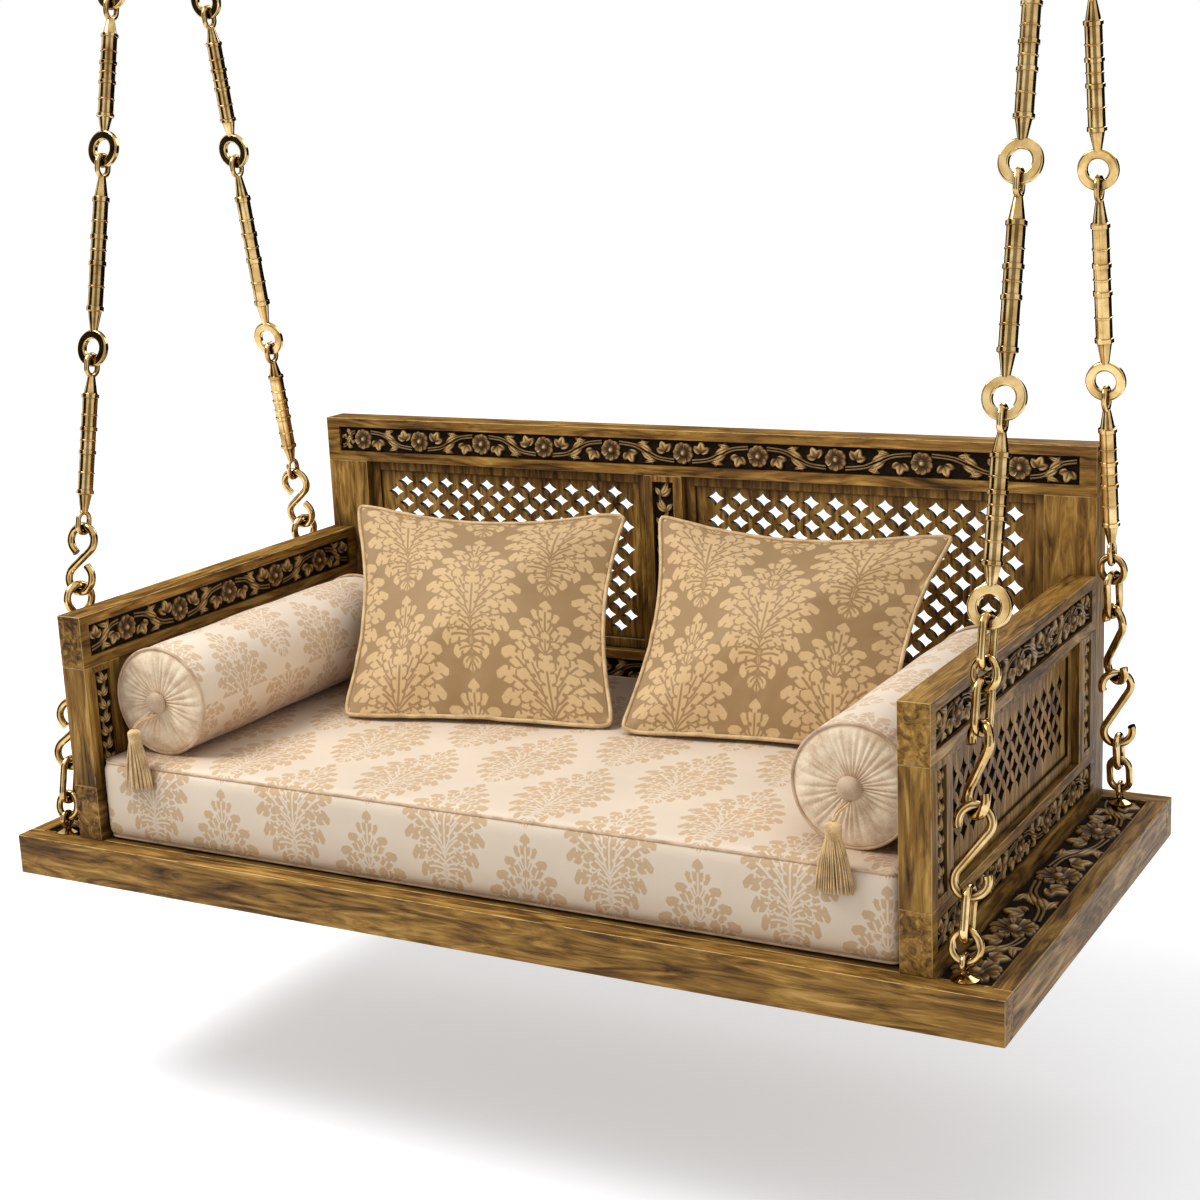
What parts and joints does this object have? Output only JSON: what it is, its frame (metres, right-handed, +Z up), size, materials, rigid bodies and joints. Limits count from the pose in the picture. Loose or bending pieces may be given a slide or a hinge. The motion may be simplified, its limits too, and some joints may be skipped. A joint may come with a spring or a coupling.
{
  "type": "jhoola swing",
  "caption": "Carved wooden jhoola swing seat with pierced back and arms, cushions and turned brass chains, hung from ceiling hooks.",
  "frame": {"origin": "on the ceiling, midway between the two ceiling hooks", "axes": "+X to the sitter's left hand along the seat (the viewer's right), +Y to the seat's back, +Z up"},
  "size_m": [1.826, 0.933, 2.3225],
  "materials": {
    "antique_wood": "antiqued golden brown, rubbed bright at the edges",
    "carved_wood": "antiqued carving with near-black ground",
    "antique_brass": "polished antique brass",
    "steel": "plain",
    "cream_damask": "cream damask with tan medallions",
    "gold_damask": "khaki gold damask with lighter medallions",
    "tassel_thread": "gold-beige thread"
  },
  "bodies": {
    "ceiling": {"ceiling_plates": "steel", "ceiling_hooks": "antique_brass"},
    "hanger": {"hanger_rings": "antique_brass"},
    "chains_left": {"chain_links_front_left": "antique_brass", "chain_links_rear_left": "antique_brass", "chain_rods_front_left": "antique_brass", "chain_rods_rear_left": "antique_brass", "figure_eight_hooks_left": "antique_brass"},
    "chains_right": {"chain_links_front_right": "antique_brass", "chain_links_rear_right": "antique_brass", "chain_rods_front_right": "antique_brass", "chain_rods_rear_right": "antique_brass", "s_hooks_right": "antique_brass"},
    "seat": {"arm_bands_left": "carved_wood", "arm_bands_right": "carved_wood", "arm_bottom_rail_left": "antique_wood", "arm_bottom_rail_right": "antique_wood", "arm_front_post_left": "antique_wood", "arm_front_post_right": "antique_wood", "arm_jali_left": "antique_wood", "arm_jali_right": "antique_wood", "arm_rear_post_left": "antique_wood", "arm_rear_post_right": "antique_wood", "arm_screws": "steel", "arm_strips_left": "carved_wood", "arm_strips_right": "carved_wood", "arm_top_rail_left": "antique_wood", "arm_top_rail_right": "antique_wood", "back_bottom_rail": "antique_wood", "back_jali_left": "antique_wood", "back_jali_right": "antique_wood", "back_low_carving": "carved_wood", "back_mullion": "antique_wood", "back_post_left": "antique_wood", "back_post_right": "antique_wood", "back_top_carving": "carved_wood", "back_top_rail": "antique_wood", "bolster_buttons": "cream_damask", "bolster_left": "cream_damask", "bolster_right": "cream_damask", "cushion_left": "gold_damask", "cushion_right": "gold_damask", "deck_battens": "antique_wood", "deck_boards": "antique_wood", "deck_carving_left": "carved_wood", "deck_carving_right": "carved_wood", "deck_end_board_left": "antique_wood", "deck_end_board_right": "antique_wood", "deck_end_rail_left": "antique_wood", "deck_end_rail_right": "antique_wood", "deck_front_rail": "antique_wood", "deck_rear_rail": "antique_wood", "eye_bolts": "antique_brass", "eye_flanges": "antique_brass", "eye_nuts": "steel", "frame_bolts": "steel", "mattress": "cream_damask", "mullion_carving": "carved_wood", "tassels": "tassel_thread"}
  },
  "joints": [
    {"name": "swing", "type": "hinge", "parent": "ceiling", "child": "hanger", "pos_m": [0, 0, -0.096], "axis": [1, 0, 0], "range_deg": [-25, 25]},
    {"name": "sway", "type": "hinge", "parent": "hanger", "child": "chains_left", "pos_m": [-0.838, 0, -0.16841], "axis": [0, 1, 0], "range_deg": [-2, 2]},
    {"name": "left_eye_pivot", "type": "hinge", "parent": "chains_left", "child": "seat", "pos_m": [-0.838, 0, -2.199], "axis": [0, 1, 0], "range_deg": [-2.1, 2.1]},
    {"name": "right_eye_pivot", "type": "hinge", "parent": "seat", "child": "chains_right", "pos_m": [0.838, 0, -2.199], "axis": [0, 1, 0], "range_deg": [-2.1, 2.1]}
  ],
  "couplings": [
    {"joint": "left_eye_pivot", "follows": "sway", "ratio": -1},
    {"joint": "right_eye_pivot", "follows": "sway", "ratio": 1}
  ]
}
